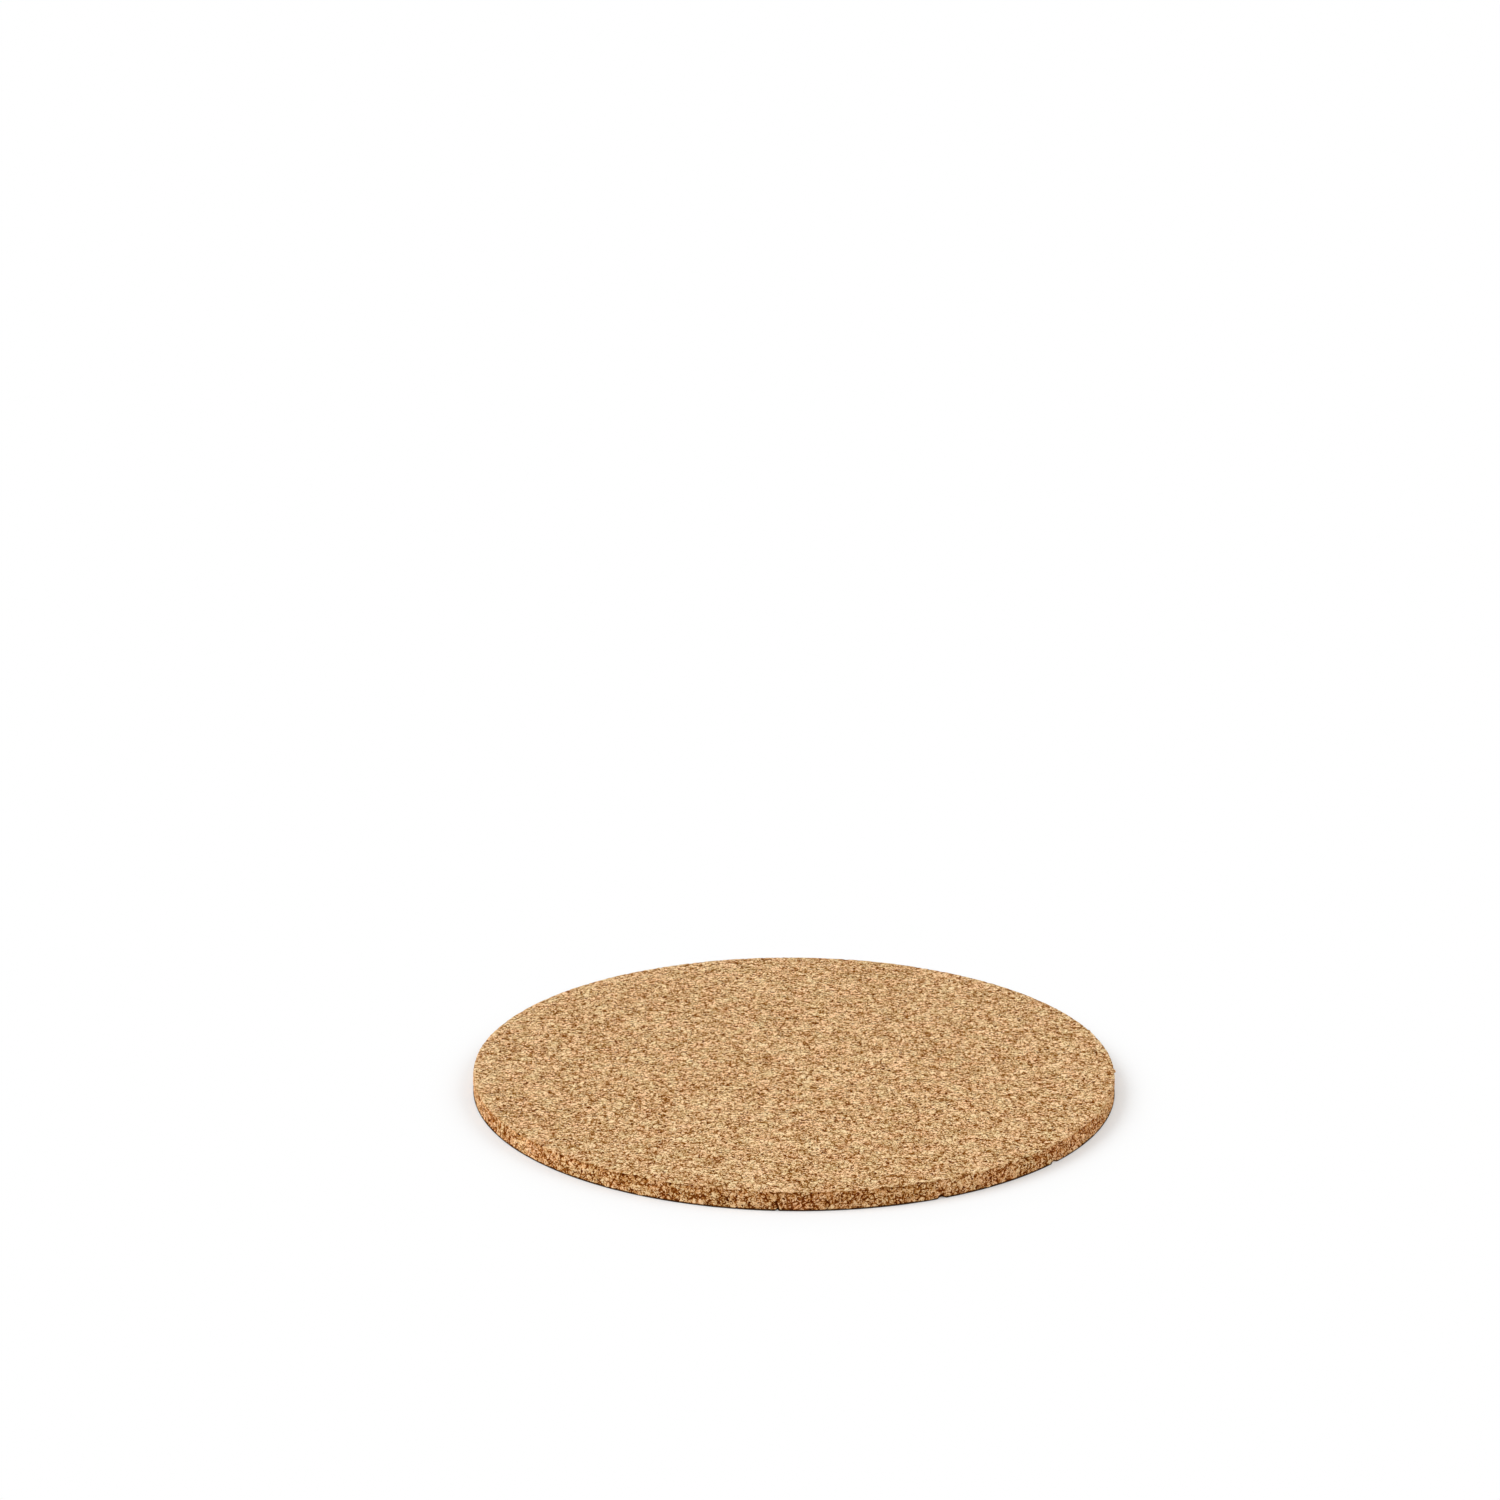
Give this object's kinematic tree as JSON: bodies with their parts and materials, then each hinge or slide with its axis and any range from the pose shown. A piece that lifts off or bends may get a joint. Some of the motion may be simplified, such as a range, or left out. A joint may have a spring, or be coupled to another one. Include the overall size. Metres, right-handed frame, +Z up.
{
  "type": "trivet",
  "caption": "Flat round disc of pressed cork granules with a sanded top and a cut wall, laid under a mug or a small pot to keep heat and drips off the table.",
  "frame": {"origin": "centre of the underside, on the table", "axes": "+Z up through the disc's centre, square to its two faces; X and Y lie in the underside and have no preferred direction, because the disc is round"},
  "size_m": [0.1, 0.1, 0.003],
  "materials": {
    "cork": "matte"
  },
  "bodies": {
    "root": {"cork_disc": "cork"}
  },
  "joints": []
}
